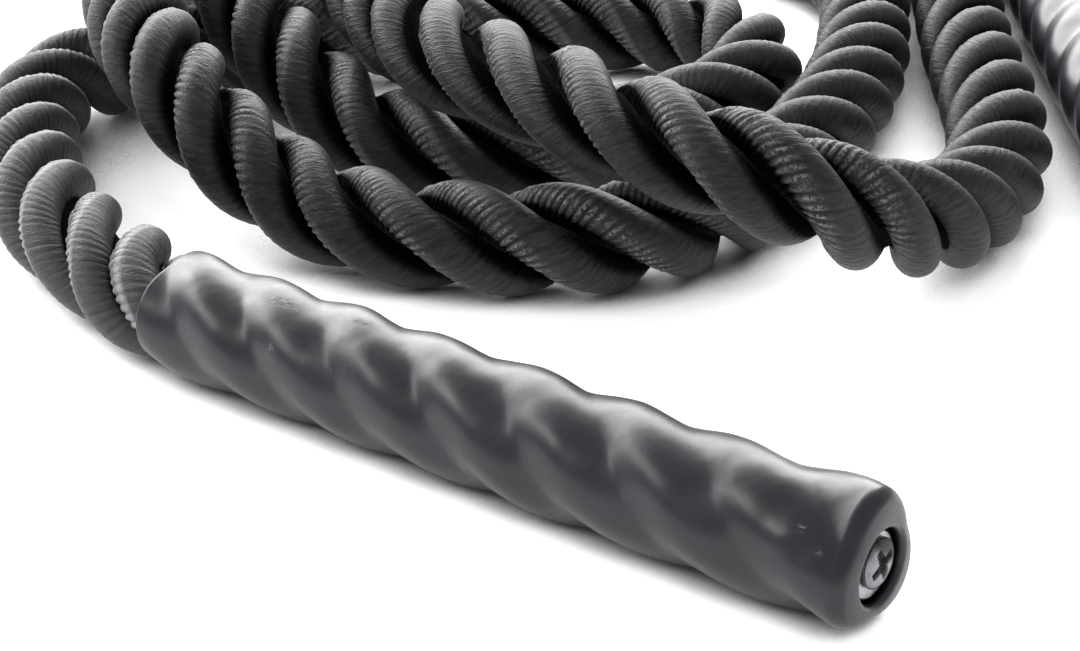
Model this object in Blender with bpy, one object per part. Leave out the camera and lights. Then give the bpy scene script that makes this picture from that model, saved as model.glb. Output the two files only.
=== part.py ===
"""Heavy jump rope: a thick three-strand laid rope with a shrink sleeve over each end.

Metres, +Z up, floor at z = 0. The rope lies in a loose coil, both handles point forward (-Y).
Origin: bottom centre of the box round the two handles.
"""

import math

import bmesh
import bpy
import numpy as np
from mathutils import Matrix, Vector

# ---------------------------------------------------------------- sizes
MM = 0.001
GAP = 0.3 * MM                  # clearance between pieces that touch

ROPE_D = 26.6 * MM              # the rope, over its three strands
LAY = 68.6 * MM                 # length in which a strand goes once round
STRANDS = 3

HANDLE_L = 174.8 * MM           # length of a shrink sleeve
SLEEVE_R = 12.9 * MM            # middle of the outer surface, between lobe and groove
LOBE = 0.7 * MM                 # lobe height above that, and groove depth below it
SLEEVE_WALL = 1.2 * MM
LOBE_PHASE = math.radians(56.8)  # where strand 1 lies at the sleeve's mouth
END_ROUND = 3.6 * MM            # rounding of the sleeve's closed-in end
END_HOLE_R = 7.3 * MM           # hole in the rolled-in end
LIP = 1.7 * MM                  # thickness of the rolled-in end

STRAND_A = 6.6 * MM             # distance of a strand's centre from the handle's axis
STRAND_R = 5.2 * MM
TAPED_A = 6.0 * MM              # the same where the cut end is taped together
TAPED_R = 4.75 * MM
STRAND_END = 4.0 * MM           # how far the strands stop short of the sleeve's end
TAPE_L = 16.0 * MM
TAPE_R = 11.15 * MM             # inside radius of the tape band
TAPE_T = 0.4 * MM

WASHER_R = 6.5 * MM
WASHER_HOLE_R = 2.4 * MM
WASHER_T = 1.2 * MM
SCREW_R = 2.0 * MM
SCREW_HEAD_R = 4.9 * MM
SCREW_HEAD_H = 1.9 * MM
SCREW_L = 32.0 * MM             # below the head

PIVOT_S = 34.0 * MM             # rope length from a sleeve's mouth to the place where it flexes

# handles: centre of the sleeve's mouth, and heading from mouth to end (degrees about Z)
AXIS_Z = 13.6 * MM
ORIGIN = (2.0, -2.8, 0.0)       # the part's own origin, in the millimetres of the lists below
HANDLES = {
    "a": (((-115.8 - ORIGIN[0]) * MM, (-57.9 - ORIGIN[1]) * MM, AXIS_Z), -37.64),
    "b": (((114.8 - ORIGIN[0]) * MM, (167.6 - ORIGIN[1]) * MM, AXIS_Z), -90.95),
}

# the rope's route over the floor, millimetres, from handle a's mouth to handle b's
LOW, OVER = 13.6, 41.1          # centre height on the floor, and on top of another pass
ROUTE = [
    # out of handle a, round the left
    (-115.8, -57.9, 13.6), (-126, -46, LOW), (-137.5, -31, LOW), (-149, -13, LOW), (-158.5, 8, LOW),
    (-166, 34, LOW), (-169.5, 60, LOW), (-166, 84, LOW), (-149, 104, LOW),
    # inner turn: under the others, across, and back through the front
    (-119, 117, LOW), (-86, 127.5, LOW), (-54, 133, LOW), (-24, 135.5, LOW),
    (0, 131, LOW), (16, 117, LOW), (20.5, 97, LOW), (13.5, 76.5, LOW),
    (-3, 57, LOW), (-22, 42.5, LOW), (-43.5, 34, LOW), (-65, 36, 14), (-85.5, 47, 17.5), (-102, 63, 26),
    # middle turn: over the first, round the back, down the right and across the front
    (-115, 84.5, 35), (-123, 112, 41), (-129, 142, 35), (-132, 176, 20), (-119, 207, 14), (-88, 226, LOW),
    (-49, 234, LOW), (-11, 233, LOW), (24, 221, LOW), (48, 198, LOW), (57, 164, LOW),
    (54.5, 130, LOW), (49, 98, LOW), (40, 66, LOW), (27, 35, LOW), (9, 5, LOW), (-15, -15, LOW), (-45, -20, LOW),
    (-70, -15, 14), (-93, -3, 16.5), (-112, 8, 26), (-127, 26, 36),
    # outer turn: over the left loop, round the back, down the right side
    (-138, 50, 39.5), (-145, 80, OVER), (-151, 110, 40), (-158, 143, 30), (-159, 180, 18), (-148, 217, 14),
    (-122, 246, LOW), (-84, 262, LOW), (-41, 268, LOW), (3, 264, LOW), (43, 249, LOW), (72, 223, LOW), (84.5, 189, LOW),
    (84.2, 151, LOW), (81.3, 109, LOW), (80, 71, LOW), (76.5, 34, LOW), (67, 5, 14.7),
    # top pass: up over the front and back over the left
    (54, -19, 19), (37, -37, 27), (14, -46, 38), (-9, -37, 44), (-28, -17, 44.5), (-45, 5, 43.5), (-61, 27, 42),
    (-74, 54, 41.5), (-83, 84, OVER), (-89, 114, OVER), (-95, 145, OVER), (-103, 177, OVER), (-111, 209, OVER),
    # back run, down to the floor and round to handle b
    (-116, 243, OVER), (-114, 274, 36), (-98, 301, 23), (-67, 317, 15), (-23, 320, LOW),
    (22, 312, LOW), (61, 292, LOW), (93, 257, LOW), (111.5, 212, LOW), (114.8, 167.6, 13.6),
]

# where the route is divided: name and the fraction of the free length at which it stops
RUNS = [
    ("rope_inner_turn", 0.205),
    ("rope_middle_turn_back", 0.345),
    ("rope_middle_turn_front", 0.495),
    ("rope_outer_turn_back", 0.640),
    ("rope_outer_turn_front", 0.815),
    ("rope_back_run", 1.0),
]
STEP = 22.0 * MM                # distance between a tube's points


# ---------------------------------------------------------------- helpers
for obj in list(bpy.data.objects):
    bpy.data.objects.remove(obj, do_unlink=True)

parts = bpy.data.collections.new("heavy_jump_rope")
tools = bpy.data.collections.new("cutters")
bpy.context.scene.collection.children.link(parts)
bpy.context.scene.collection.children.link(tools)


def material(name, color, roughness, metallic=0.0):
    mat = bpy.data.materials.new(name)
    mat.use_nodes = True
    shader = mat.node_tree.nodes["Principled BSDF"]
    shader.inputs["Base Color"].default_value = (*color, 1.0)
    shader.inputs["Roughness"].default_value = roughness
    shader.inputs["Metallic"].default_value = metallic
    mat.diffuse_color = (*color, 1.0)
    return mat


SLEEVE = material("shrink_sleeve", (0.012, 0.012, 0.014), 0.32)
ROPE = material("polyester_rope", (0.030, 0.031, 0.034), 0.85)
TAPE = material("end_tape", (0.05, 0.05, 0.05), 0.5)
STEEL = material("zinc_plated_steel", (0.62, 0.63, 0.64), 0.3, 1.0)


def add(name, data, mat, where=None, collection=None):
    """Links an object with its material at a matrix."""
    obj = bpy.data.objects.new(name, data)
    (collection or parts).objects.link(obj)
    if mat is not None:
        data.materials.clear()
        data.materials.append(mat)
    if where is not None:
        obj.matrix_world = where
    return obj


def smooth(points):
    """A natural cubic spline through the points: 40 places for each point."""
    p = np.array(points, float)
    n = len(p)
    t = np.concatenate([[0], np.cumsum(np.linalg.norm(np.diff(p, axis=0), axis=1) ** 0.7)])
    h = np.diff(t)
    a = np.zeros((n, n))
    b = np.zeros((n, 3))
    a[0, 0] = a[-1, -1] = 1
    for i in range(1, n - 1):
        a[i, i - 1 : i + 2] = h[i - 1], 2 * (h[i - 1] + h[i]), h[i]
        b[i] = 6 * ((p[i + 1] - p[i]) / h[i] - (p[i] - p[i - 1]) / h[i - 1])
    m = np.linalg.solve(a, b)
    at = np.linspace(0, t[-1], 40 * n)
    k = np.clip(np.searchsorted(t, at, side="right") - 1, 0, n - 2)
    u = ((t[k + 1] - at) / h[k])[:, None]
    v = ((at - t[k]) / h[k])[:, None]
    bend = ((u**3 - u) * m[k] + (v**3 - v) * m[k + 1]) * h[k][:, None] ** 2 / 6
    return u * p[k] + v * p[k + 1] + bend


class Path:
    """A dense line that can be read at any distance from its start."""

    def __init__(self, points):
        self.p = np.array(points)
        self.s = np.concatenate([[0], np.cumsum(np.linalg.norm(np.diff(self.p, axis=0), axis=1))])
        self.length = self.s[-1]

    def at(self, s):
        return np.array([np.interp(s, self.s, self.p[:, i]) for i in range(3)])

    def heading(self, s):
        d = self.at(min(s + MM, self.length)) - self.at(max(s - MM, 0))
        return d / np.linalg.norm(d)


route = Path((smooth(ROUTE) - ORIGIN) * MM)


def tube(name, points, radius, sides, mat, radii=None):
    """A round tube along the points, as a curve with closed ends."""
    curve = bpy.data.curves.new(name, "CURVE")
    curve.dimensions = "3D"
    curve.bevel_depth = radius
    curve.bevel_resolution = sides // 2 - 2
    curve.use_fill_caps = True
    curve.twist_mode = "MINIMUM"
    line = curve.splines.new("POLY")
    line.points.add(len(points) - 1)
    for i, p in enumerate(points):
        line.points[i].co = (*p, 1.0)
        line.points[i].radius = radii[i] if radii else 1.0
    line.use_smooth = True
    return add(name, curve, mat)


def as_mesh(obj):
    """The curve object made a mesh, with its caps joined on."""
    deps = bpy.context.evaluated_depsgraph_get()
    mesh = bpy.data.meshes.new_from_object(obj.evaluated_get(deps))
    bm = bmesh.new()
    bm.from_mesh(mesh)
    bmesh.ops.remove_doubles(bm, verts=bm.verts, dist=1e-6)
    bm.to_mesh(mesh)
    bm.free()
    name, mat, where = obj.name, obj.data.materials[0], obj.matrix_world.copy()
    bpy.data.objects.remove(obj, do_unlink=True)
    mesh.name = name
    return add(name, mesh, mat, where)


def turned(name, profile, sides, mat, where, collection=None):
    """A closed (x, radius) outline turned about the X axis."""
    bm = bmesh.new()
    verts = [bm.verts.new((x, 0.0, r)) for x, r in profile]
    for one, two in zip(verts, verts[1:] + verts[:1]):
        bm.edges.new((one, two))
    bmesh.ops.spin(
        bm, geom=bm.verts[:] + bm.edges[:], axis=(1, 0, 0), cent=(0, 0, 0),
        angle=2 * math.pi, steps=sides, use_duplicate=False,
    )
    bmesh.ops.remove_doubles(bm, verts=bm.verts, dist=1e-6)
    bmesh.ops.dissolve_degenerate(bm, edges=bm.edges, dist=1e-7)
    bmesh.ops.recalc_face_normals(bm, faces=bm.faces)
    mesh = bpy.data.meshes.new(name)
    bm.to_mesh(mesh)
    bm.free()
    mesh.shade_smooth()
    mesh.set_sharp_from_angle(angle=math.radians(35))
    return add(name, mesh, mat, where, collection)


def cut(obj, cutter):
    mod = obj.modifiers.new("cut", "BOOLEAN")
    mod.operation = "DIFFERENCE"
    mod.solver = "EXACT"
    mod.object = cutter
    cutter.hide_render = True
    cutter.display_type = "WIRE"


def loft(name, rings, mat, where):
    """Faces between closed rings of points, the last joined to the first."""
    bm = bmesh.new()
    rows = [[bm.verts.new(p) for p in ring] for ring in rings]
    n = len(rows[0])
    for one, two in zip(rows, rows[1:] + rows[:1]):
        for i in range(n):
            j = (i + 1) % n
            bm.faces.new((one[i], one[j], two[j], two[i]))
    bmesh.ops.recalc_face_normals(bm, faces=bm.faces)
    mesh = bpy.data.meshes.new(name)
    bm.to_mesh(mesh)
    bm.free()
    mesh.shade_smooth()
    mesh.set_sharp_from_angle(angle=math.radians(50))
    return add(name, mesh, mat, where)


# ---------------------------------------------------------------- handle pieces
def strand_angle(x, number=0):
    """Where a strand lies round the handle's axis, x along it from the mouth: a right-hand lay."""
    return LOBE_PHASE + 2 * math.pi * (x / LAY + number / STRANDS)


def ease(x, low, high):
    t = min(max((x - low) / (high - low), 0.0), 1.0)
    return t * t * (3 - 2 * t)


def sleeve_radius(x, angle):
    """The sleeve's outer surface: a lobe over each strand, nearly round over the taped end."""
    taped = ease(x, HANDLE_L - 32 * MM, HANDLE_L - 22 * MM)
    mouth = 1 - ease(x, 0, 14 * MM)
    middle = SLEEVE_R + 0.35 * MM * taped - 0.2 * MM * mouth
    height = LOBE * (1 - 0.65 * taped + 0.25 * mouth)
    return middle + height * math.cos(3 * (angle - strand_angle(x)))


def sleeve(name, where):
    sides = 24
    along = 36
    angles = [2 * math.pi * i / sides for i in range(sides)]
    last = HANDLE_L - END_ROUND

    def ring(x, radius):
        return [(x, radius(a) * math.cos(a), radius(a) * math.sin(a)) for a in angles]

    rings = []
    for i in range(along + 1):                      # outer surface, mouth to end
        x = last * i / along
        rings.append(ring(x, lambda a, x=x: sleeve_radius(x, a)))
    for turn in (30, 60, 90):                       # rounded edge of the end
        t = math.radians(turn)
        x = last + END_ROUND * math.sin(t)
        rings.append(ring(x, lambda a, t=t: sleeve_radius(last, a) - END_ROUND * (1 - math.cos(t))))
    rings.append(ring(HANDLE_L, lambda a: END_HOLE_R + 0.4 * MM))      # flat face, then the hole
    rings.append(ring(HANDLE_L - 0.4 * MM, lambda a: END_HOLE_R))
    rings.append(ring(HANDLE_L - LIP, lambda a: END_HOLE_R))
    rings.append(ring(HANDLE_L - LIP - 0.2 * MM, lambda a: 10.2 * MM))
    inside = HANDLE_L - LIP - 2.0 * MM
    for i in range(along + 1):                      # inner surface, end to mouth
        x = inside * (1 - i / along)
        rings.append(ring(x, lambda a, x=x: sleeve_radius(x, a) - SLEEVE_WALL))
    return loft(name, rings, SLEEVE, where)


def strand(name, number, where):
    """One strand of the rope's end, inside the sleeve, a little too long at both ends."""
    start, stop = -4 * MM, HANDLE_L - STRAND_END + 4 * MM
    n = 36
    points, radii = [], []
    for i in range(n + 1):
        x = start + (stop - start) * i / n
        taped = ease(x, HANDLE_L - 36 * MM, HANDLE_L - 27 * MM)
        a = STRAND_A + (TAPED_A - STRAND_A) * taped
        r = STRAND_R + (TAPED_R - STRAND_R) * taped
        angle = strand_angle(x, number)
        points.append((x, a * math.cos(angle), a * math.sin(angle)))
        radii.append(r / STRAND_R)
    obj = tube(name, points, STRAND_R, 8, ROPE, radii)
    obj.matrix_world = where
    return as_mesh(obj)


def handle(key):
    mouth, heading = HANDLES[key]
    where = Matrix.Translation(mouth) @ Matrix.Rotation(math.radians(heading), 4, "Z")
    made = [sleeve("handle_%s_sleeve" % key, where)]

    seat = HANDLE_L - STRAND_END + GAP              # the washer lies on the strands' ends
    washer = turned(
        "handle_%s_washer" % key,
        [(seat, WASHER_HOLE_R), (seat, WASHER_R), (seat + WASHER_T - 0.2 * MM, WASHER_R),
         (seat + WASHER_T, WASHER_R - 0.2 * MM), (seat + WASHER_T, WASHER_HOLE_R)],
        24, STEEL, where,
    )

    under = seat + WASHER_T + GAP                   # underside of the screw's head
    tip = under - SCREW_L
    screw = turned(
        "handle_%s_screw" % key,
        [(tip, 0.0), (tip + 5 * MM, SCREW_R), (under, SCREW_R), (under, SCREW_HEAD_R),
         (under + 0.9 * MM, SCREW_HEAD_R), (under + 1.8 * MM, SCREW_HEAD_R * 0.8),
         (under + SCREW_HEAD_H, SCREW_HEAD_R * 0.35), (under + SCREW_HEAD_H, 0.0)],
        20, STEEL, where,
    )
    for number, size in enumerate(((5.2, 1.1), (1.1, 5.2))):   # cross recess
        bm = bmesh.new()
        bmesh.ops.create_cube(bm, size=1.0)
        bmesh.ops.scale(bm, vec=(2.6 * MM, size[0] * MM, size[1] * MM), verts=bm.verts)
        bmesh.ops.translate(bm, vec=(under + SCREW_HEAD_H - 0.2 * MM, 0, 0), verts=bm.verts)
        mesh = bpy.data.meshes.new("recess_%s_%d" % (key, number))
        bm.to_mesh(mesh)
        bm.free()
        cut(screw, add(mesh.name, mesh, None, where, tools))

    end = HANDLE_L - STRAND_END                     # trims the strands flat and clears the screw
    bore = turned(
        "strand_end_cutter_%s" % key,
        [(tip - 1 * MM, 0.0), (tip - 1 * MM, SCREW_R + GAP), (end, SCREW_R + GAP),
         (end, 16 * MM), (end + 12 * MM, 16 * MM), (end + 12 * MM, 0.0)],
        20, None, where, tools,
    )
    trim = turned(
        "strand_start_cutter_%s" % key,
        [(-14 * MM, 0.0), (-14 * MM, 16 * MM), (GAP, 16 * MM), (GAP, 0.0)], 20, None, where, tools,
    )
    for number in range(STRANDS):
        piece = strand("handle_%s_strand_%d" % (key, number + 1), number, where)
        cut(piece, bore)
        cut(piece, trim)
        made.append(piece)

    tape_at = HANDLE_L - STRAND_END - 1.5 * MM - TAPE_L
    tape = turned(
        "handle_%s_end_tape" % key,
        [(tape_at, TAPE_R), (tape_at, TAPE_R + TAPE_T),
         (tape_at + TAPE_L, TAPE_R + TAPE_T), (tape_at + TAPE_L, TAPE_R)],
        30, TAPE, where,
    )
    made += [washer, screw, tape]

    # the rope's last stretch before the sleeve, up to the place where it flexes:
    # there it ends in half a ball about the pivot
    sign = 1 if key == "a" else -1
    base = 0.0 if key == "a" else route.length
    away = -np.array(where.to_3x3() @ Vector((1, 0, 0)))
    points = [np.array(mouth) + away * s for s in (GAP, 7 * MM)]
    points += [route.at(base + sign * s) for s in (0.6 * PIVOT_S, PIVOT_S)]
    radii = [1.0] * len(points)
    pivot = Vector(route.at(base + sign * PIVOT_S))
    out = sign * route.heading(base + sign * PIVOT_S)
    for turn in (25, 47, 66, 80):
        t = math.radians(turn)
        points.append(np.array(pivot) + out * math.sin(t) * ROPE_D / 2)
        radii.append(math.cos(t))
    lead = tube("rope_lead_%s" % key, points, ROPE_D / 2, 12, ROPE, radii)
    made.append(lead)

    # everything that lifts with the handle hangs on an empty at the pivot
    hinge = bpy.data.objects.new("handle_%s_pivot" % key, None)
    parts.objects.link(hinge)
    hinge.empty_display_size = 0.02
    hinge.location = pivot
    bpy.context.view_layer.update()
    for piece in made:
        world = piece.matrix_world.copy()
        piece.parent = hinge
        piece.matrix_parent_inverse = Matrix.Translation(pivot).inverted()
        piece.matrix_world = world
    return pivot


for key in HANDLES:
    handle(key)

# ---------------------------------------------------------------- the coil
first = PIVOT_S + ROPE_D / 2 + 2 * GAP
last = route.length - first
begin = first
for name, share in RUNS:
    until = first + share * (last - first)
    count = max(2, round((until - begin) / STEP))
    line = [route.at(begin + (until - begin) * i / count) for i in range(count + 1)]
    # a short straight piece at each end, so that two ends that meet are parallel
    line.insert(1, line[0] + route.heading(begin) * 5 * MM)
    line.insert(-1, line[-1] - route.heading(until) * 5 * MM)
    tube(name, line, ROPE_D / 2, 10, ROPE)
    begin = until + GAP

bpy.context.view_layer.update()
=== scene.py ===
"""Looks of the heavy jump rope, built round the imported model: metres, +Z up, floor at z = 0."""

import math

import bpy
import numpy as np
from mathutils import Matrix, Vector


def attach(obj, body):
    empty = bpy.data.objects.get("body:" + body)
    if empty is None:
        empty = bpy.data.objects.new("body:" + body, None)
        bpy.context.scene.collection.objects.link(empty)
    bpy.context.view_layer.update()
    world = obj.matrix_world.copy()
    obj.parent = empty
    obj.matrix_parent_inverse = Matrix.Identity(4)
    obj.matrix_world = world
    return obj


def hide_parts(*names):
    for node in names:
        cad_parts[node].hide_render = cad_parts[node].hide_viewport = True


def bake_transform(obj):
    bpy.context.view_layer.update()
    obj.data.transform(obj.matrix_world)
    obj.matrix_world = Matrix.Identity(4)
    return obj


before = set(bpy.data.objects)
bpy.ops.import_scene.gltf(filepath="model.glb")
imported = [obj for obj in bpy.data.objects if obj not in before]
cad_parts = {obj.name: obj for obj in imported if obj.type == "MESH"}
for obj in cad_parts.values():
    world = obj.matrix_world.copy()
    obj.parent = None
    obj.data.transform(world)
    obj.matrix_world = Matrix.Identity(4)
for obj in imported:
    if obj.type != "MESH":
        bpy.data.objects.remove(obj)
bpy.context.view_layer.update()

scene = bpy.context.scene
MM = 0.001

# ---------------------------------------------------------------- camera
camera = bpy.data.objects.new("camera", bpy.data.cameras.new("camera"))
scene.collection.objects.link(camera)
camera.location = (-0.040, -0.5382, 0.2399)
camera.rotation_euler = (math.radians(90 - 25.47), 0, 0)
camera.data.sensor_width = 36
camera.data.sensor_fit = "HORIZONTAL"
camera.data.lens = 82.27
camera.data.clip_start = 0.01
scene.camera = camera

# ---------------------------------------------------------------- sizes, as in part.py
ROPE_D = 26.6 * MM
LAY = 68.6 * MM
HANDLE_L = 174.8 * MM
LOBE_PHASE = math.radians(56.8)
STRAND_END = 4.0 * MM
GAP = 0.3 * MM
WASHER_R = 6.5 * MM
WASHER_HOLE_R = 2.4 * MM
WASHER_T = 1.2 * MM
SCREW_HEAD_R = 4.9 * MM
SCREW_HEAD_H = 1.9 * MM
PIVOT_S = 34.0 * MM
AXIS_Z = 13.6 * MM
ORIGIN = (2.0, -2.8, 0.0)
HANDLES = {
    "a": (((-115.8 - ORIGIN[0]) * MM, (-57.9 - ORIGIN[1]) * MM, AXIS_Z), -37.64),
    "b": (((114.8 - ORIGIN[0]) * MM, (167.6 - ORIGIN[1]) * MM, AXIS_Z), -90.95),
}
LOW, OVER = 13.6, 41.1
ROUTE = [
    (-115.8, -57.9, 13.6), (-126, -46, LOW), (-137.5, -31, LOW), (-149, -13, LOW), (-158.5, 8, LOW),
    (-166, 34, LOW), (-169.5, 60, LOW), (-166, 84, LOW), (-149, 104, LOW),
    (-119, 117, LOW), (-86, 127.5, LOW), (-54, 133, LOW), (-24, 135.5, LOW),
    (0, 131, LOW), (16, 117, LOW), (20.5, 97, LOW), (13.5, 76.5, LOW),
    (-3, 57, LOW), (-22, 42.5, LOW), (-43.5, 34, LOW), (-65, 36, 14), (-85.5, 47, 17.5), (-102, 63, 26),
    (-115, 84.5, 35), (-123, 112, 41), (-129, 142, 35), (-132, 176, 20), (-119, 207, 14), (-88, 226, LOW),
    (-49, 234, LOW), (-11, 233, LOW), (24, 221, LOW), (48, 198, LOW), (57, 164, LOW),
    (54.5, 130, LOW), (49, 98, LOW), (40, 66, LOW), (27, 35, LOW), (9, 5, LOW), (-15, -15, LOW), (-45, -20, LOW),
    (-70, -15, 14), (-93, -3, 16.5), (-112, 8, 26), (-127, 26, 36),
    (-138, 50, 39.5), (-145, 80, OVER), (-151, 110, 40), (-158, 143, 30), (-159, 180, 18), (-148, 217, 14),
    (-122, 246, LOW), (-84, 262, LOW), (-41, 268, LOW), (3, 264, LOW), (43, 249, LOW), (72, 223, LOW), (84.5, 189, LOW),
    (84.2, 151, LOW), (81.3, 109, LOW), (80, 71, LOW), (76.5, 34, LOW), (67, 5, 14.7),
    (54, -19, 19), (37, -37, 27), (14, -46, 38), (-9, -37, 44), (-28, -17, 44.5), (-45, 5, 43.5), (-61, 27, 42),
    (-74, 54, 41.5), (-83, 84, OVER), (-89, 114, OVER), (-95, 145, OVER), (-103, 177, OVER), (-111, 209, OVER),
    (-116, 243, OVER), (-114, 274, 36), (-98, 301, 23), (-67, 317, 15), (-23, 320, LOW),
    (22, 312, LOW), (61, 292, LOW), (93, 257, LOW), (111.5, 212, LOW), (114.8, 167.6, 13.6),
]
RUNS = [
    ("rope_inner_turn", 0.205),
    ("rope_middle_turn_back", 0.345),
    ("rope_middle_turn_front", 0.495),
    ("rope_outer_turn_back", 0.640),
    ("rope_outer_turn_front", 0.815),
    ("rope_back_run", 1.0),
]


# ---------------------------------------------------------------- small tools
def smoothstep(t):
    t = np.clip(t, 0, 1)
    return t * t * (3 - 2 * t)


def ease(x, low, high):
    return smoothstep((np.asarray(x, float) - low) / (high - low))


def unit(v):
    return v / np.linalg.norm(v, axis=-1, keepdims=True)


def read(table, x):
    """A table of (millimetres, value) pairs read at x metres."""
    return np.interp(np.asarray(x, float) / MM, [p[0] for p in table], [p[1] for p in table])


def soft_noise(rng, count, reach):
    """Even random numbers along a line, smoothed over reach steps, about -1 to 1."""
    raw = rng.normal(size=count + 6 * reach)
    k = np.exp(-0.5 * (np.arange(-3 * reach, 3 * reach + 1) / reach) ** 2)
    out = np.convolve(raw, k / np.sqrt((k**2).sum()), "same")[3 * reach : 3 * reach + count]
    return np.clip(out, -2.2, 2.2)


def mesh_object(name, verts, faces, material, smooth=True, uv=None):
    """A mesh from arrays; faces is a list of (n, 3) and (n, 4) index arrays, uv one (corners, 2) array."""
    mesh = bpy.data.meshes.new(name)
    verts = np.asarray(verts, np.float32).reshape(-1, 3)
    faces = [np.asarray(f, np.int32) for f in faces if len(f)]
    loops = np.concatenate([f.ravel() for f in faces])
    totals = np.concatenate([np.full(len(f), f.shape[1], np.int32) for f in faces])
    starts = np.concatenate([[0], np.cumsum(totals)[:-1]]).astype(np.int32)
    mesh.vertices.add(len(verts))
    mesh.vertices.foreach_set("co", verts.ravel())
    mesh.loops.add(len(loops))
    mesh.loops.foreach_set("vertex_index", loops)
    mesh.polygons.add(len(totals))
    mesh.polygons.foreach_set("loop_start", starts)
    mesh.update(calc_edges=True)
    mesh.validate(clean_customdata=False)
    if uv is not None:
        layer = mesh.uv_layers.new(name="OFBake")
        layer.uv.foreach_set("vector", np.asarray(uv, np.float32).ravel())
    if smooth:
        mesh.polygons.foreach_set("use_smooth", np.ones(len(totals), bool))
    obj = bpy.data.objects.new(name, mesh)
    scene.collection.objects.link(obj)
    if material is not None:
        mesh.materials.append(material)
    return obj


def tag(obj, name, values, kind="FLOAT"):
    values = np.asarray(values, np.float32)
    attribute = obj.data.attributes.new(name, kind, "POINT")
    attribute.data.foreach_set("vector" if kind == "FLOAT_VECTOR" else "value", values.ravel())


# ---------------------------------------------------------------- materials
class Finish:
    """A node material, with short ways to add nodes."""

    def __init__(self, name, color=(0.5, 0.5, 0.5), roughness=0.5, metallic=0.0, specular=0.5):
        self.mat = bpy.data.materials.new(name)
        self.mat.use_nodes = True
        self.tree = self.mat.node_tree
        self.shader = next(n for n in self.tree.nodes if n.type == "BSDF_PRINCIPLED")
        self.shader.inputs["Base Color"].default_value = (*color, 1)
        self.shader.inputs["Roughness"].default_value = roughness
        self.shader.inputs["Metallic"].default_value = metallic
        self.shader.inputs["Specular IOR Level"].default_value = specular
        self.mat.diffuse_color = (*color, 1)

    def link(self, a, b):
        self.tree.links.new(a, b)

    def node(self, kind, **values):
        n = self.tree.nodes.new(kind)
        for k, v in values.items():
            if hasattr(n, k):
                setattr(n, k, v)
            else:
                n.inputs[k].default_value = v
        return n

    def put(self, socket, value):
        if isinstance(value, bpy.types.NodeSocket):
            self.link(value, socket)
        else:
            socket.default_value = value

    def coords(self):
        return self.node("ShaderNodeTexCoord").outputs["Object"]

    def attribute(self, name, out="Fac"):
        return self.node("ShaderNodeAttribute", attribute_name=name).outputs[out]

    def scaled(self, vector, scale):
        n = self.node("ShaderNodeMapping")
        n.inputs["Scale"].default_value = scale
        self.link(vector, n.inputs["Vector"])
        return n.outputs["Vector"]

    def noise(self, vector, scale, detail=3.0, rough=0.55, out="Fac"):
        n = self.node("ShaderNodeTexNoise")
        n.inputs["Scale"].default_value = scale
        n.inputs["Detail"].default_value = detail
        n.inputs["Roughness"].default_value = rough
        self.link(vector, n.inputs["Vector"])
        return n.outputs[out]

    def span(self, value, a, b, c=0.0, d=1.0, smooth=False):
        n = self.node("ShaderNodeMapRange")
        if smooth:
            n.interpolation_type = "SMOOTHSTEP"
        n.inputs["From Min"].default_value, n.inputs["From Max"].default_value = a, b
        n.inputs["To Min"].default_value, n.inputs["To Max"].default_value = c, d
        self.link(value, n.inputs["Value"])
        return n.outputs["Result"]

    def math(self, operation, a, b=None):
        n = self.node("ShaderNodeMath")
        n.operation = operation
        self.put(n.inputs[0], a)
        if b is not None:
            self.put(n.inputs[1], b)
        return n.outputs["Value"]

    def mix(self, factor, a, b):
        n = self.node("ShaderNodeMix")
        n.data_type = "RGBA"
        self.put(n.inputs[0], factor)
        self.put(n.inputs[6], a)
        self.put(n.inputs[7], b)
        return n.outputs[2]

    def bump(self, height, distance, strength=1.0, normal=None):
        n = self.node("ShaderNodeBump")
        n.inputs["Strength"].default_value = strength
        n.inputs["Distance"].default_value = distance
        self.link(height, n.inputs["Height"])
        if normal is not None:
            self.link(normal, n.inputs["Normal"])
        return n.outputs["Normal"]

    def set(self, name, value):
        self.put(self.shader.inputs[name], value)


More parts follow.
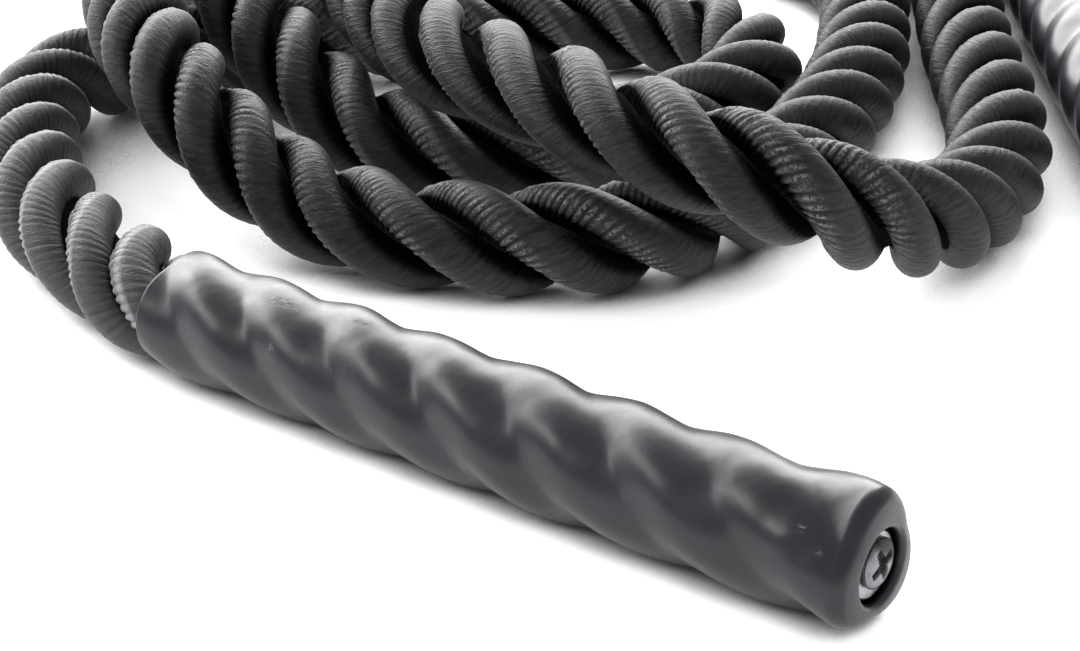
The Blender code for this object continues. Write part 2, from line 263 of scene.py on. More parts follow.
def rope_finish():
    """Black polyester: fine yarns with a soft sheen, random tone and some wear, with painted highlights on the strands'
    lit sides and painted shade on their shadowed sides and between yarns and strands.
    """
    f = Finish("polyester_rope", (0.010, 0.010, 0.011), 0.55, specular=0.22)
    cloth = f.attribute("cloth", "Vector")
    rib = f.attribute("rib")
    edge = f.attribute("edge")
    painted_shade = f.attribute("painted_shade")
    across = f.noise(f.scaled(cloth, (1.0, 0.10, 1.0)), 1.0, 2.0)          # yarn by yarn
    strip = f.noise(f.scaled(cloth, (2.6, 0.30, 1.0)), 1.0, 2.0)           # strips within a yarn
    fibre = f.noise(f.scaled(cloth, (6.0, 0.9, 1.0)), 1.0, 2.0)            # filaments
    patch = f.noise(f.coords(), 60.0, 2.0)                                 # slow change along the rope
    fluff = f.noise(f.coords(), 1300.0, 3.0, 0.7)
    # painted shade and highlight: darker in the grooves between yarns, paler on their crests
    base = f.mix(f.span(rib, -0.9, 0.9), (0.0045, 0.0045, 0.0048, 1), (0.019, 0.019, 0.0202, 1))
    base = f.mix(f.span(across, 0.38, 0.66, 0.0, 0.75), base, (0.040, 0.0395, 0.041, 1))
    base = f.mix(f.span(strip, 0.42, 0.68, 0.0, 0.75), base, (0.003, 0.003, 0.0033, 1))
    base = f.mix(f.span(patch, 0.35, 0.65, 0.0, 0.5), base, (0.007, 0.0068, 0.007, 1))
    # pale yarn tips on the strands' side turned to the lights: painted highlight, partly wear
    wear_and_highlight = f.math("MULTIPLY", f.span(edge, 0.14, 0.46), f.span(fluff, 0.42, 0.60))
    wear_and_highlight = f.math("MULTIPLY", wear_and_highlight, f.span(rib, -0.3, 0.9, 0.05, 1.0))
    # paler near handle a: painted light, as the rope there lies nearer the lights, and some dust
    dust = f.attribute("dust")
    base = f.mix(f.math("MULTIPLY", dust, f.span(rib, -0.9, 0.9, 0.35, 0.8)), base, (0.066, 0.064, 0.064, 1))
    wear_and_highlight = f.math("MULTIPLY", wear_and_highlight, f.span(edge, 0.64, 0.42, 0.45, 1.0))
    base = f.mix(wear_and_highlight, base, (0.25, 0.25, 0.26, 1))
    # painted sheen: a pale rim along the strands' lit side, strongest near handle a
    rim = f.math("MULTIPLY", f.span(edge, 0.02, 0.13), f.span(edge, 0.38, 0.20))
    rim = f.math("MULTIPLY", rim, f.span(fluff, 0.32, 0.58, 0.35, 1.0))
    rim = f.math("MULTIPLY", rim, f.span(rib, -0.7, 0.6, 0.50, 1.0))
    rim = f.math("MULTIPLY", rim, f.span(dust, 0.0, 0.45))
    base = f.mix(rim, base, (0.25, 0.25, 0.255, 1))
    # painted shade: near black, with less gloss, on the flanks turned from the lights and in the grooves and hidden
    # walls between strands
    base = f.mix(painted_shade, base, (0.0006, 0.0006, 0.0006, 1))
    f.set("Base Color", base)
    f.set("Roughness", f.span(across, 0.3, 0.7, 0.44, 0.62))
    f.set("Specular IOR Level", f.span(painted_shade, 0.0, 0.8, 0.26, 0.0))
    f.set("Sheen Weight", 0.04)
    f.set("Sheen Roughness", 0.4)
    f.shader.inputs["Sheen Tint"].default_value = (0.75, 0.76, 0.80, 1)
    height = f.math("ADD", f.math("MULTIPLY", across, 0.45), f.math("MULTIPLY", strip, 0.55))
    height = f.math("ADD", height, f.math("ADD", f.math("MULTIPLY", fibre, 0.28), f.math("MULTIPLY", fluff, 0.26)))
    f.set("Normal", f.bump(height, 0.0005, 1.0))
    return f.mat


def sleeve_finish():
    """Shrink sleeve: black plastic, satin gloss, with faint orange peel, scuffs and dust."""
    f = Finish("shrink_sleeve", (0.010, 0.010, 0.0125), 0.28, specular=0.44)
    where = f.coords()
    scuff = f.attribute("scuff")
    peel = f.noise(where, 800.0, 2.0, 0.5)
    dent = f.noise(where, 120.0, 2.0, 0.5)
    grime = f.noise(where, 55.0, 4.0, 0.6)
    speck = f.noise(where, 1700.0, 1.0, 0.5)
    scratch = f.noise(f.scaled(where, (0.35, 0.8, 1.6)), 1900.0, 2.0, 0.6)
    base = f.mix(f.span(grime, 0.35, 0.7), (0.0072, 0.0072, 0.0102, 1), (0.0125, 0.0125, 0.0172, 1))
    dust = f.math("MULTIPLY", f.span(speck, 0.74, 0.80, 0.0, 1.0), f.span(grime, 0.42, 0.62, 0.0, 0.6))
    base = f.mix(dust, base, (0.16, 0.16, 0.17, 1))
    rub = f.math("MULTIPLY", scuff, f.span(scratch, 0.48, 0.60))
    base = f.mix(f.math("MULTIPLY", rub, 0.6), base, (0.22, 0.22, 0.23, 1))
    f.set("Base Color", base)
    rough = f.math("ADD", f.span(grime, 0.3, 0.75, 0.31, 0.41), f.span(peel, 0.3, 0.7, -0.02, 0.02))
    rough = f.math("ADD", rough, f.math("MULTIPLY", scuff, 0.25))
    f.set("Roughness", rough)
    height = f.math("ADD", f.math("MULTIPLY", peel, 0.05), f.math("MULTIPLY", dent, 2.2))
    height = f.math("ADD", height, f.math("MULTIPLY", rub, 0.9))
    f.set("Normal", f.bump(height, 0.00016, 0.5))
    return f.mat


def steel_finish(name, tone, rough):
    """Zinc-plated steel with fine turning marks and a slightly mottled plate; painted shade darkens its recesses, and
    the screw head is darker towards one side.
    """
    f = Finish(name, tone, rough, 1.0)
    where = f.coords()
    painted_shade = f.attribute("painted_shade")
    mottle = f.noise(where, 700.0, 3.0, 0.6)
    grain = f.noise(f.scaled(where, (1.0, 1.0, 4.0)), 2400.0, 2.0, 0.6)
    dark = tuple(0.66 * c for c in tone)
    base = f.mix(f.span(mottle, 0.35, 0.68), (*dark, 1), (*tone, 1))
    # painted shade: darker and rougher in the recesses
    f.set("Base Color", f.mix(f.math("MULTIPLY", painted_shade, 0.85), base, (0.03, 0.03, 0.032, 1)))
    f.set("Roughness", f.math("ADD", f.span(mottle, 0.3, 0.7, rough - 0.06, rough + 0.12), f.math("MULTIPLY", painted_shade, 0.3)))
    f.set("Normal", f.bump(grain, 0.00004, 0.6))
    return f.mat


def tape_finish():
    """Matte cloth tape with a fine square weave."""
    f = Finish("end_tape", (0.03, 0.03, 0.03), 0.7)
    where = f.coords()
    weave = f.node("ShaderNodeTexWave")
    weave.inputs["Scale"].default_value = 900.0
    weave.inputs["Distortion"].default_value = 0.6
    f.link(where, weave.inputs["Vector"])
    wear = f.noise(where, 300.0, 3.0)
    f.set("Base Color", f.mix(f.span(wear, 0.3, 0.7), (0.020, 0.020, 0.021, 1), (0.045, 0.045, 0.046, 1)))
    f.set("Roughness", f.span(wear, 0.3, 0.7, 0.6, 0.8))
    f.set("Normal", f.bump(weave.outputs["Fac"], 0.0001, 0.7))
    return f.mat


def inner_strand_finish():
    """The rope's strands inside a sleeve: the same yarn, seen only at the sleeve's ends."""
    f = Finish("rope_inside_sleeve", (0.02, 0.02, 0.022), 0.7)
    where = f.coords()
    yarn = f.noise(where, 900.0, 3.0)
    tint = f.noise(where, 150.0, 2.0)
    f.set("Base Color", f.mix(f.span(yarn, 0.35, 0.7), (0.006, 0.006, 0.0065, 1), (0.028, 0.028, 0.030, 1)))
    f.set("Roughness", f.span(tint, 0.3, 0.7, 0.6, 0.8))
    f.set("Normal", f.bump(yarn, 0.0002, 0.8))
    return f.mat


ROPE = rope_finish()
SLEEVE = sleeve_finish()
WASHER = steel_finish("zinc_washer", (0.50, 0.51, 0.52), 0.36)
SCREW = steel_finish("zinc_screw", (0.24, 0.245, 0.25), 0.30)
TAPE = tape_finish()
INNER = inner_strand_finish()


# ---------------------------------------------------------------- the rope's line
def smooth(points):
    """A natural cubic spline through the points: 40 places for each point."""
    p = np.array(points, float)
    n = len(p)
    t = np.concatenate([[0], np.cumsum(np.linalg.norm(np.diff(p, axis=0), axis=1) ** 0.7)])
    h = np.diff(t)
    a = np.zeros((n, n))
    b = np.zeros((n, 3))
    a[0, 0] = a[-1, -1] = 1
    for i in range(1, n - 1):
        a[i, i - 1 : i + 2] = h[i - 1], 2 * (h[i - 1] + h[i]), h[i]
        b[i] = 6 * ((p[i + 1] - p[i]) / h[i] - (p[i] - p[i - 1]) / h[i - 1])
    m = np.linalg.solve(a, b)
    at = np.linspace(0, t[-1], 40 * n)
    k = np.clip(np.searchsorted(t, at, side="right") - 1, 0, n - 2)
    u = ((t[k + 1] - at) / h[k])[:, None]
    v = ((at - t[k]) / h[k])[:, None]
    bend = ((u**3 - u) * m[k] + (v**3 - v) * m[k + 1]) * h[k][:, None] ** 2 / 6
    return u * p[k] + v * p[k + 1] + bend


def handle_matrix(key):
    mouth, heading = HANDLES[key]
    return Matrix.Translation(mouth) @ Matrix.Rotation(math.radians(heading), 4, "Z")


def along(table, s_table, s):
    return np.stack([np.interp(s, s_table, table[:, i]) for i in range(table.shape[1])], axis=-1)


route = (smooth(ROUTE) - ORIGIN) * MM
route_s = np.concatenate([[0], np.cumsum(np.linalg.norm(np.diff(route, axis=0), axis=1))])
FREE = float(route_s[-1])                       # rope length between the two mouths

RUN_ON = 12 * MM                                # how far the line runs on inside each handle
line_s = np.arange(-RUN_ON, FREE + RUN_ON, 0.5 * MM)
line = along(route, route_s, line_s)
for key, s_here in (("a", line_s), ("b", FREE - line_s)):
    # within a sleeve, and just outside it, the rope follows the sleeve's own axis
    where = handle_matrix(key)
    straight = np.array(where.translation) - np.outer(s_here, np.array(where.to_3x3() @ Vector((1, 0, 0))))
    w = (1 - ease(s_here, 0, 24 * MM))[:, None]
    line = np.where(s_here[:, None] < 24 * MM, line * (1 - w) + straight * w, line)

heading = unit(np.gradient(line, axis=0))
first = handle_matrix("a").to_3x3()
normal = np.zeros_like(line)
normal[0] = np.array(first @ Vector((0, 1, 0)))
for i in range(len(line) - 1):                  # carried along without turning about the line
    v = normal[i] - heading[i + 1] * (normal[i] @ heading[i + 1])
    normal[i + 1] = v / np.linalg.norm(v)
other = -np.cross(heading, normal)              # at handle a, normal is its +Y and other its +Z

# lay of the strands: an even one, and how many degrees it is ahead or behind at places along the rope,
# since a laid rope tightens and loosens where it bends
PITCH = 62.0 * MM
UNEVEN = [
    (0, 0), (15, 6), (30, 6), (52, -26), (85, -32), (120, -40), (480, -70), (510, -72), (536, -90), (558, -93),
    (900, -96), (1040, -60), (1135, -78), (1171, -91), (1197, -117), (1221, -108), (1243, -106), (1261, -101),
    (1297, -60), (1335, -60), (1700, -60), (1790, 20), (1935, -55), (1960, -52), (1985, -52), (2010, -60),
    (2029, -64), (2046, -82), (2060, -97), (2079, -128), (2107, -175), (2141, -223), (2725, -223),
]
degrees_s = read(UNEVEN, line_s)
reach = np.exp(-0.5 * (np.arange(-40, 41) / 16.0) ** 2)
padded = np.concatenate([np.full(40, degrees_s[0]), degrees_s, np.full(40, degrees_s[-1])])
degrees_s = np.convolve(padded, reach / reach.sum(), "valid")


def turned_by(s):
    return 2 * np.pi * s / PITCH + np.radians(np.interp(s, line_s, degrees_s))


# a small even twist so that the strands also meet handle b's lobes
end = handle_matrix("b").to_3x3()
n_end, o_end = along(normal, line_s, FREE), along(other, line_s, FREE)
angle = LOBE_PHASE - turned_by(FREE)
d = math.cos(angle) * n_end + math.sin(angle) * o_end
there = math.atan2(d @ np.array(end @ Vector((0, 0, 1))), d @ np.array(end @ Vector((0, 1, 0))))
third = 2 * math.pi / 3
miss = (LOBE_PHASE - there + third / 2) % third - third / 2

STRAND_A = 7.92 * MM
STRAND_R = 5.28 * MM
RIB = 1.30 * MM                                 # rope length from yarn to yarn
STEPS = 4                                       # rings to a yarn
SEEN = math.radians(112)                        # the round part of a strand's section
SKEW = -1.40 * MM                               # how a yarn runs along the rope, per radian of girth
TILT = math.atan(2 * math.pi * STRAND_A / PITCH)
WEDGE_R, WEDGE_TURN = 6.3 * MM, math.radians(62)  # inside, a strand is pressed to a wedge against the other two
girth = np.linspace(-SEEN, SEEN, 15)
ROUND = len(girth)
COLS = ROUND + 3


# how strongly the strands' flank turned from the lights gets painted shade along the rope (mm, amount)
FLANK_SHADE = [(0, 0.10), (120, 0.25), (200, 0.85), (1820, 0.95), (1880, 0.7), (1930, 0.7), (1990, 0.95), (2725, 0.8)]
# where the rope is painted paler, as nearer the lights, and is dustier (mm along the rope, amount); its yarn ribs are
# deeper there too
LIT_AND_DUSTY = [(0, 1.0), (70, 0.95), (130, 0.45), (200, 0.15), (1240, 0.0), (1290, 0.25), (1350, 0.0), (2725, 0.0)]


def facing(s):
    """1 where a strand's positive side is the one turned towards the lights at the back left, -1 where its negative
    side is, read from the rope's heading; painted highlight and shade, and the bolder yarns, go by it.
    """
    t = along(heading, line_s, s)
    return np.clip(2.2 * (t[..., 0] * 0.8 - t[..., 1] * 0.6), -1, 1)


def strand_rings(number, ring0, ring1):
    """Points (rings, columns, 3) of a strand, with the height of its yarns there."""
    rng = np.random.default_rng(11 + number)
    total = int(FREE / RIB * STEPS) + 200
    wander = np.stack([soft_noise(rng, total, 2 * STEPS) for _ in range(3)], 1) * 0.75
    fat = soft_noise(rng, total, 40 * STEPS)
    slack = soft_noise(rng, total, 26 * STEPS)
    proud = rng.uniform(-0.1, 1.8, (total // STEPS + 40, 6))
    index = np.arange(ring0, ring1 + 1)
    z = index * RIB / STEPS
    across = np.linspace(0, 2, ROUND)
    drift = np.stack([np.interp(across, [0, 1, 2], w) for w in wander[index + 80]]) * RIB / STEPS

    def axes(s):
        turn = LOBE_PHASE + number * third - turned_by(s) - miss * np.clip(s / FREE, 0, 1)
        tight = 1 - 0.15 * (1 - ease(s, 0, 12 * MM)) - 0.15 * (1 - ease(FREE - s, 0, 12 * MM))
        return turn, tight, along(line, line_s, s), along(normal, line_s, s), along(other, line_s, s)

    s = z[:, None] + drift + SKEW * girth[None, :]
    turn, tight, c, n, o = axes(s)
    t = unit(along(heading, line_s, s))
    out = np.cos(turn)[..., None] * n + np.sin(turn)[..., None] * o
    on = np.sin(turn)[..., None] * n - np.cos(turn)[..., None] * o
    side = -math.sin(TILT) * t + math.cos(TILT) * on
    yarn = index // STEPS + 20
    spot = (girth + math.pi) / (2 * math.pi) * 5
    i = np.clip(spot.astype(int), 0, 4)
    f = smoothstep(spot - i)
    rise = proud[yarn][:, i] * (1 - f) + proud[yarn][:, i + 1] * f
    wave = np.array([1.0, 0.25, -1.0, 0.25])[index % STEPS][:, None]
    lit_side = girth[None, :] * facing(z)[:, None]
    bold = 0.034 + 0.23 * ease(lit_side, math.radians(8), math.radians(62))
    bold = bold + 0.06 * read(LIT_AND_DUSTY, z)[:, None]
    radius = STRAND_R * (1 + 0.014 * fat[index + 80][:, None]) + (bold * rise * wave - 0.03) * MM
    p = c + ((STRAND_A + 0.10 * MM * slack[index + 80][:, None]) * tight)[..., None] * out
    p += radius[..., None] * (np.cos(girth)[None, :, None] * out + np.sin(girth)[None, :, None] * side)
    inner = []
    for sign in (1, -1):
        place = z + sign * (SKEW * SEEN - STRAND_R * math.sin(SEEN) * math.sin(TILT))
        turn, tight, c, n, o = axes(place)
        turn = turn - sign * WEDGE_TURN
        inner.append(c + (WEDGE_R * tight)[:, None] * (np.cos(turn)[:, None] * n + np.sin(turn)[:, None] * o))
    p = np.concatenate([p, inner[0][:, None], along(line, line_s, z)[:, None], inner[1][:, None]], 1)
    return p, np.concatenate([rise * wave, np.zeros((len(index), 3))], 1), index


def rope_piece(name, ring0, ring1):
    """A stretch of the rope: three closed strands, with a strip of the bake map for each."""
    rings = ring1 - ring0 + 1
    cuts = 1
    while 3 * (cuts + 1) * 34 < 1.2 * rings * RIB / STEPS / MM / (cuts + 1):
        cuts += 1
    rows = 3 * cuts
    per = int(math.ceil((rings - 1) / cuts))
    verts, quads, tris, uv_q, uv_t, ribs, edges, painted_shades, lit_and_dusty, cloth = ([] for _ in range(10))
    round_it = np.concatenate([girth, [SEEN + 0.5, math.pi, -SEEN - 0.5]])
    base = 0
    for number in range(3):
        p, rib, index = strand_rings(number, ring0, ring1)
        verts.append(p.reshape(-1, 3))
        ribs.append(rib.ravel())
        lit_side = round_it[None, :] * facing(index * RIB / STEPS)[:, None]
        edges.append((lit_side / math.pi * 1.6).ravel())
        # painted shade: dark towards the groove on the lit side, over the flank turned from the lights, and on the
        # hidden inner walls
        shade = read(FLANK_SHADE, index * RIB / STEPS)[:, None]
        shut = ease(lit_side, math.radians(74), math.radians(100)) + shade * ease(-lit_side, math.radians(56), math.radians(94))
        shut = np.maximum(shut, ease(np.abs(round_it), math.radians(88), math.radians(112))[None, :])
        painted_shades.append(shut.ravel())
        lit_and_dusty.append((read(LIT_AND_DUSTY, index * RIB / STEPS)[:, None] * np.ones(COLS)).ravel())
        place = np.zeros((rings, COLS, 3))
        place[..., 0] = (index / STEPS)[:, None]
        place[..., 1] = round_it[None, :] * 6
        place[..., 2] = number * 37.0
        cloth.append(place.reshape(-1, 3))
        j, i = np.meshgrid(np.arange(rings - 1), np.arange(COLS), indexing="ij")
        j, i = j.ravel(), i.ravel()
        k = (i + 1) % COLS
        quads.append(np.stack([j * COLS + i, (j + 1) * COLS + i, (j + 1) * COLS + k, j * COLS + k], 1) + base)
        row = number * cuts + j // per
        u0, u1 = (j % per) / per, (j % per + 1) / per
        v0, v1 = i / COLS, (i + 1) / COLS
        low = 0.02 + 0.96 * row / rows
        v0, v1 = low + v0 * 0.92 / rows, low + v1 * 0.92 / rows
        u0, u1 = 0.01 + 0.98 * u0, 0.01 + 0.98 * u1
        uv_q.append(np.stack([u0, v0, u1, v0, u1, v1, u0, v1], 1))
        # a fan closes each end
        for ring, sign in ((0, 1), (rings - 1, -1)):
            middle = sum(len(v) for v in verts)
            verts.append(p[ring].mean(axis=0)[None])
            ribs.append([0.0])
            edges.append([1.0])
            painted_shades.append([0.6])
            lit_and_dusty.append([0.0])
            cloth.append([[0.0, 0.0, 0.0]])
            a = ring * COLS + np.arange(COLS) + base
            b = ring * COLS + (np.arange(COLS) + 1) % COLS + base
            fan = np.stack([np.full(COLS, middle), a, b] if sign > 0 else [np.full(COLS, middle), b, a], 1)
            tris.append(fan)
            spin = 2 * math.pi * np.arange(COLS + 1) / COLS
            cu, cv = 0.03 + 0.03 * (2 * number + (sign < 0)), 0.01
            ring_uv = np.stack([cu + 0.008 * np.cos(spin), cv + 0.008 * np.sin(spin)], 1)
            one, two = (ring_uv[:-1], ring_uv[1:]) if sign > 0 else (ring_uv[1:], ring_uv[:-1])
            uv_t.append(np.concatenate([np.tile([[cu, cv]], (COLS, 1)), one, two], 1))
        base = sum(len(v) for v in verts)
    uv = np.concatenate([np.concatenate(uv_q).ravel(), np.concatenate(uv_t).ravel()])
    obj = mesh_object(
        name, np.concatenate(verts), [np.concatenate(quads), np.concatenate(tris)], ROPE, uv=uv
    )
    tag(obj, "rib", np.concatenate(ribs))
    tag(obj, "edge", np.concatenate(edges))
    tag(obj, "painted_shade", np.concatenate(painted_shades))
    tag(obj, "dust", np.concatenate(lit_and_dusty))
    tag(obj, "cloth", np.concatenate(cloth), "FLOAT_VECTOR")
    s0, s1 = max(0.0, ring0 * RIB / STEPS), min(FREE, ring1 * RIB / STEPS)
    count = max(12, int((s1 - s0) / (4 * MM)))
    path = along(line, line_s, np.linspace(s0, s1, count))
    return obj, path


def ring_at(s):
    return int(round(s / (RIB / STEPS)))


LEAD_A, LEAD_B = 180 * MM, FREE - 190 * MM      # where the two bending ends stop
last = PIVOT_S + ROPE_D / 2 + 2 * GAP
bounds_s = [last + share * (FREE - 2 * last) for _, share in RUNS]
stops = [LEAD_A] + bounds_s[:-1] + [LEAD_B]
names = ["rope_end_a"] + [n for n, _ in RUNS] + ["rope_end_b"]
marks = [ring_at(-2.5 * MM)] + [ring_at(s) for s in stops] + [ring_at(FREE + 2.5 * MM)]
for name, ring0, ring1 in zip(names, marks[:-1], marks[1:]):
    if name == "rope_end_a":
        obj, path = rope_piece("laid_rope_end_a", ring0, ring1)
        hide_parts("rope_lead_a")
        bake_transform(obj)
    elif name == "rope_end_b":
        obj, path = rope_piece("laid_rope_end_b", ring0, ring1)
        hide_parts("rope_lead_b")
        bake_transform(obj)
    else:
        obj, path = rope_piece(name.replace("rope_", "laid_rope_"), ring0, ring1)
        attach(obj, "coil")
        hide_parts(name)


# ---------------------------------------------------------------- shrink sleeves
SLEEVE_R = 12.9 * MM
SLEEVE_WALL = 1.2 * MM
END_HOLE_R = 7.3 * MM
HOLE_Y, HOLE_Z = 0.35 * MM, -0.8 * MM           # the rolled-in end closes a little off centre
PROUD = 0.6 * MM                                # the washer's and the screw's own slack, taken up outwards
# how many degrees the lobes are behind an even lay
LOBES_BEHIND = [(0, 12), (25, 8), (67, 4), (115, 12), (143, 17), (160, 24), (175, 38)]
# places where the sleeve is scratched: distance from the mouth, angle round it, size along and around (mm)
SCUFFS = [(35, 106, 3.0, 1.1), (54, 98, 2.6, 1.0), (38, 150, 1.0, 0.5), (164, 140, 0.7, 0.6), (168.5, 153, 0.5, 0.5)]
# dents pressed in by the shrinking: the same, with how deep
DENTS = [(22, 118, 6.0, 3.0, 0.10), (58, 150, 5.0, 3.5, 0.10), (84, 128, 4.5, 3.0, 0.12), (104, 160, 5.0, 3.0, 0.12),
         (121, 132, 4.0, 4.5, 0.14), (139, 150, 4.5, 3.5, 0.14), (158, 135, 4.5, 3.5, 0.34), (165, 160, 2.8, 2.4, 0.42),
         (171, 100, 4.0, 4.0, 0.26), (150, 205, 6.0, 4.0, 0.16), (95, 200, 7.0, 4.0, 0.12), (169, 190, 2.6, 3.0, 0.30),
         (74, 142, 3.0, 2.5, 0.12), (46, 134, 3.0, 2.5, 0.12), (132, 172, 3.5, 2.5, 0.16), (34, 165, 4.0, 2.5, 0.10)]


def lobe_angle(x):
    return LOBE_PHASE + 2 * np.pi * x / LAY - np.radians(read(LOBES_BEHIND, x))


def outer_radius(x, angle, seed):
    """The sleeve over three strands: full lobes, narrow grooves, and slow dents."""
    taped = ease(x, HANDLE_L - 32 * MM, HANDLE_L - 22 * MM)
    shut = ease(x, HANDLE_L - 20 * MM, HANDLE_L - 5 * MM)
    mouth = 1 - ease(x, 0, 10 * MM)
    middle = SLEEVE_R + 0.12 * MM * taped - 0.15 * MM * mouth
    height = 0.72 * MM * (1 - 0.12 * taped + 0.80 * shut + 0.25 * mouth)
    lobe = (1 + np.cos(3 * (angle - lobe_angle(x)))) / 2
    shape = 2 * (lobe + 0.006) ** 0.76 - 1.11        # broad lobes, tighter grooves
    dents = (
        0.05 * np.sin(x / (17 * MM) + 2 * angle + seed)
        + 0.045 * np.sin(x / (6.1 * MM) - angle + 2.1 * seed)
        + 0.03 * np.sin(x / (3.3 * MM) + 3 * angle + 0.7 * seed)
        + 0.07 * np.sin(x / (4.2 * MM) + seed) * np.sin(2 * angle - x / (11 * MM))
        + 0.045 * np.sin(x / (1.9 * MM) + 2.6 * seed) * np.sin(4 * angle + x / (5 * MM))
        + 0.04 * np.sin(x / (2.6 * MM) - 5 * angle + seed)
    )
    for at, spin, long, wide, depth in DENTS:
        turn = (np.degrees(angle) - spin - 70 * (seed > 1) + 180) % 360 - 180
        size = ((x / MM - at) / long) ** 2 + (np.radians(turn) * 13 / wide) ** 2
        dents = dents - depth * np.exp(-size)
    return middle + height * shape + dents * MM


def place_in_handle(key, p):
    where = np.array(handle_matrix(key))
    return p @ where[:3, :3].T + where[:3, 3]


def sleeve(key):
    sides, seed = 144, 0.4 if key == "a" else 2.2
    angles = 2 * np.pi * np.arange(sides) / sides
    around = np.stack([np.cos(angles), np.sin(angles)], 1)
    last_x = HANDLE_L - 3.5 * MM
    rings = []

    def ring(x, r, off=0.0):
        x = np.broadcast_to(x, angles.shape)[:, None]
        yz = around * np.broadcast_to(r, angles.shape)[:, None] + off * np.array((HOLE_Y, HOLE_Z))
        rings.append(np.concatenate([x, yz], 1))

    outer_x = np.linspace(0.35 * MM, last_x, 380)
    for x in outer_x:
        ring(x, outer_radius(x, angles, seed))
    rim = outer_radius(last_x, angles, seed)
    for t in np.radians(np.linspace(8, 80, 10)):     # shoulder of the rolled-in end
        ring(last_x + 3.1 * MM * math.sin(t), rim - 2.6 * MM * (1 - math.cos(t)), 0.5 * ease(t, 0, 1.4))
    lip = 1.15 * MM
    for t in np.radians(np.linspace(0, 90, 9)):      # soft lip round the hole
        ring(HANDLE_L - lip + lip * math.cos(t), END_HOLE_R + lip * (1 - math.sin(t)), 1.0)
    ring(HANDLE_L - 2.05 * MM, END_HOLE_R + 0.25 * MM, 1.0)
    ring(HANDLE_L - 2.15 * MM, 9.9 * MM, 0.5)
    for x in np.linspace(HANDLE_L - 5.5 * MM, 0.25 * MM, 60):
        ring(x, outer_radius(x, angles, seed) - SLEEVE_WALL)
    mouth = outer_radius(0, angles, seed)
    ring(0.0, mouth - 0.95 * MM)
    ring(0.0, mouth - 0.30 * MM)
    p = np.concatenate(rings)
    n = len(rings)
    j, i = np.meshgrid(np.arange(n), np.arange(sides), indexing="ij")
    j, i = j.ravel(), i.ravel()
    a, b = (j + 1) % n, (i + 1) % sides
    faces = np.stack([j * sides + i, j * sides + b, a * sides + b, a * sides + i], 1)
    scuff = np.zeros(len(p))
    spin = np.degrees(np.arctan2(p[:, 2], p[:, 1]))
    for x, angle, long, wide in SCUFFS:
        turn = (spin - angle + 180) % 360 - 180
        size = ((p[:, 0] / MM - x) / long) ** 2 + (turn * math.pi / 180 * 13 / wide) ** 2
        scuff = np.maximum(scuff, np.exp(-size))
    scuff[len(outer_x) * sides :] = 0
    obj = mesh_object("handle_%s_shrink_sleeve" % key, place_in_handle(key, p), [faces], SLEEVE)
    tag(obj, "scuff", scuff)
    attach(obj, "handle_%s" % key)
    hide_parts("handle_%s_sleeve" % key)


def turned_plate(name, key, profile, sides, material, replaces):
    """A closed (x, radius) outline turned about the handle's axis."""
    angles = 2 * np.pi * np.arange(sides) / sides
    n = len(profile)
    p = np.concatenate([
        np.stack([np.full(sides, x), r * np.cos(angles) + HOLE_Y, r * np.sin(angles) + HOLE_Z], 1)
        for x, r in profile
    ])
    j, i = np.meshgrid(np.arange(n), np.arange(sides), indexing="ij")
    j, i = j.ravel(), i.ravel()
    a, b = (j + 1) % n, (i + 1) % sides
    faces = np.stack([j * sides + i, j * sides + b, a * sides + b, a * sides + i], 1)
    obj = mesh_object(name, place_in_handle(key, p), [faces], material)
    tag(obj, "painted_shade", np.zeros(len(p)))
    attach(obj, "handle_%s" % key)
    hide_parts(replaces)


def washer(key):
    seat = HANDLE_L - STRAND_END + GAP + PROUD
    r0, r1, t, b = WASHER_HOLE_R, WASHER_R, WASHER_T, 0.22 * MM
    profile = [(seat, r0 + b), (seat, r1 - b)]
    profile += [(seat + b - b * math.cos(u), r1 - b + b * math.sin(u)) for u in (0.5, 1.1, 1.57)]
    profile += [(seat + t - b + b * math.sin(u), r1 - b + b * math.cos(u)) for u in (0.0, 0.5, 1.1, 1.57)]
    profile += [(seat + t - 0.05 * MM, 5.2 * MM), (seat + t - 0.08 * MM, 4.0 * MM), (seat + t, r0 + b)]
    profile += [(seat + t - b, r0), (seat + b, r0)]
    turned_plate("handle_%s_flat_washer" % key, key, profile, 96, WASHER, "handle_%s_washer" % key)


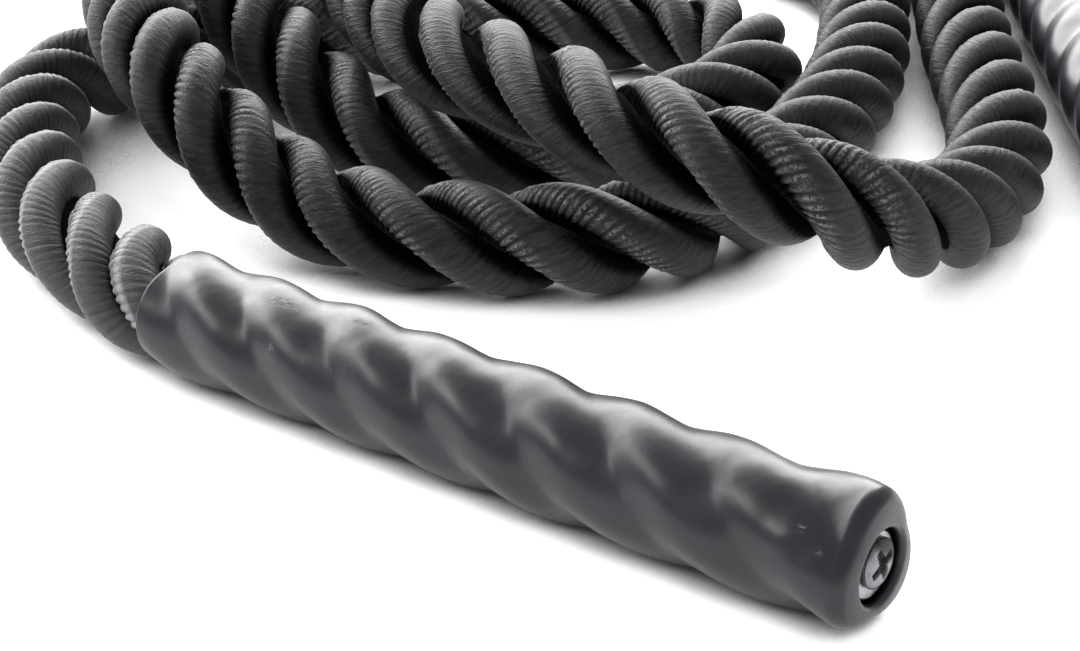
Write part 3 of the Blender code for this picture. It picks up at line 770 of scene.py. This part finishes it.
def screw(key):
    """A domed head with a cross recess, and a plain shank going in to the rope."""
    under = HANDLE_L - STRAND_END + 2 * GAP + WASHER_T + PROUD
    sides, steps = 192, 44
    angles = 2 * np.pi * np.arange(sides) / sides
    cross = math.radians(24 if key == "a" else 61)
    rings, painted_shade = [], []

    def ring(x, r, dark=0.0):
        r = np.broadcast_to(r, angles.shape)
        x = np.broadcast_to(x, angles.shape)
        rings.append(np.stack([x, r * np.cos(angles) + HOLE_Y + 0.35 * MM, r * np.sin(angles) + HOLE_Z + 0.45 * MM], 1))
        painted_shade.append(np.broadcast_to(dark, angles.shape))

    for k in range(steps):                           # top of the head, from its middle outwards
        r = SCREW_HEAD_R * ((k + 0.5) / steps) ** 0.9
        y, z = r * np.cos(angles - cross), r * np.sin(angles - cross)
        top = 0.80 * SCREW_HEAD_H * (1 - 0.26 * (r / SCREW_HEAD_R) ** 2 - 0.34 * (r / SCREW_HEAD_R) ** 8)
        arm = 0.0
        for u, v in ((y, z), (z, y)):
            half = 1.12 * MM - 0.10 * np.abs(v)
            arm = np.maximum(arm, ease(half - np.abs(u), -0.10 * MM, 0.16 * MM) * ease(3.6 * MM - np.abs(v), 0, 0.9 * MM))
        pit = ease(1.25 * MM - r, -0.2 * MM, 0.3 * MM)
        cut = np.maximum(arm, pit)
        # darker towards one side of the head
        one_side_dark = 0.95 * ease(np.cos(angles - math.radians(50 if key == "a" else 120)) * r, 0.4 * MM, 2.6 * MM)
        # painted shade in the cross recess
        ring(under + top - 1.35 * MM * cut * (1 - 0.22 * r / SCREW_HEAD_R), r, np.maximum(cut, one_side_dark))
    edge = SCREW_HEAD_H * 0.32
    ring(under + edge - 0.15 * MM, SCREW_HEAD_R + 0.02 * MM)
    ring(under + 0.15 * MM, SCREW_HEAD_R)
    ring(under, SCREW_HEAD_R - 0.12 * MM)
    ring(under, 1.8 * MM)
    ring(under - 26.0 * MM, 1.8 * MM)
    ring(under - 31.8 * MM, 0.15 * MM)
    p = np.concatenate(rings)
    n = len(rings)
    j, i = np.meshgrid(np.arange(n - 1), np.arange(sides), indexing="ij")
    j, i = j.ravel(), i.ravel()
    b = (i + 1) % sides
    faces = np.stack([j * sides + i, (j + 1) * sides + i, (j + 1) * sides + b, j * sides + b], 1)
    middle = [p[:sides].mean(axis=0), p[-sides:].mean(axis=0)]
    p = np.concatenate([p, middle])
    k, m = np.arange(sides), (np.arange(sides) + 1) % sides
    head = np.stack([np.full(sides, n * sides), k, m], 1)
    tip = np.stack([np.full(sides, n * sides + 1), (n - 1) * sides + m, (n - 1) * sides + k], 1)
    obj = mesh_object("handle_%s_cross_screw" % key, place_in_handle(key, p), [faces, np.concatenate([head, tip])], SCREW)
    tag(obj, "painted_shade", np.concatenate([np.concatenate(painted_shade), [1.0, 0.0]]))
    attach(obj, "handle_%s" % key)
    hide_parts("handle_%s_screw" % key)


for key in HANDLES:
    sleeve(key)
    washer(key)
    screw(key)
    for piece, mat in (("strand_1", INNER), ("strand_2", INNER), ("strand_3", INNER), ("end_tape", TAPE)):
        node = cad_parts["handle_%s_%s" % (key, piece)]
        node.data.materials.clear()
        node.data.materials.append(mat)

# ---------------------------------------------------------------- floor and light
floor_mat = Finish("pale_floor", (0.62, 0.62, 0.63), 0.6, specular=0.2)
grain = floor_mat.noise(floor_mat.coords(), 8.0, 2.0)
pale = floor_mat.mix(grain, (0.61, 0.61, 0.625, 1), (0.64, 0.64, 0.65, 1))
# the floor glows where nothing stands close (painted light), and its colour darkens near the rope and handles (painted
# shadow)
near = floor_mat.node("ShaderNodeAmbientOcclusion")
near.samples = 8
near.inputs["Distance"].default_value = 0.03
wide = floor_mat.node("ShaderNodeAmbientOcclusion")
wide.samples = 8
wide.inputs["Distance"].default_value = 0.12
floor_mat.shader.inputs["Emission Color"].default_value = (1.0, 1.0, 1.0, 1)
glow = floor_mat.span(near.outputs["AO"], 0.05, 0.40, 0.0, 0.75, smooth=True)
glow = floor_mat.math("MULTIPLY", glow, floor_mat.span(wide.outputs["AO"], 0.16, 0.41, smooth=True))
# painted shadow: darker floor colour near and between the ropes
floor_mat.set("Base Color", floor_mat.mix(floor_mat.span(wide.outputs["AO"], 0.06, 0.24), (0.20, 0.20, 0.205, 1), pale))
floor_mat.set("Emission Strength", glow)
floor = mesh_object(
    "floor", [(-4, -4, 0), (4, -4, 0), (4, 4, 0), (-4, 4, 0)], [[(0, 1, 2, 3)]], floor_mat.mat, smooth=False
)


def softbox(name, place, target, width, height, radiance):
    data = bpy.data.lights.new(name, "AREA")
    data.shape = "RECTANGLE"
    data.size, data.size_y = width, height
    data.energy = radiance * math.pi * width * height
    obj = bpy.data.objects.new(name, data)
    scene.collection.objects.link(obj)
    obj.location = place
    obj.rotation_euler = (Vector(target) - Vector(place)).to_track_quat("-Z", "Y").to_euler()
    return obj


softbox("key_softbox", (-0.28, 1.14, 0.70), (-0.05, -0.02, 0), 2.0, 1.05, 8.5)
softbox("side_softbox", (-1.05, 0.55, 0.62), (-0.03, 0.0, 0), 0.6, 0.5, 9.0)
softbox("window_left_pane", (-1.02, -0.32, 0.66), (-0.06, -0.10, 0), 0.11, 0.30, 16.0)
softbox("window_right_pane", (-1.02, -0.04, 0.66), (-0.06, -0.10, 0), 0.11, 0.30, 16.0)
world = bpy.data.worlds.new("studio")
world.use_nodes = True
world.node_tree.nodes["Background"].inputs["Color"].default_value = (0.95, 0.96, 1.0, 1)
world.node_tree.nodes["Background"].inputs["Strength"].default_value = 0.72
scene.world = world
scene.view_settings.view_transform = "Standard"
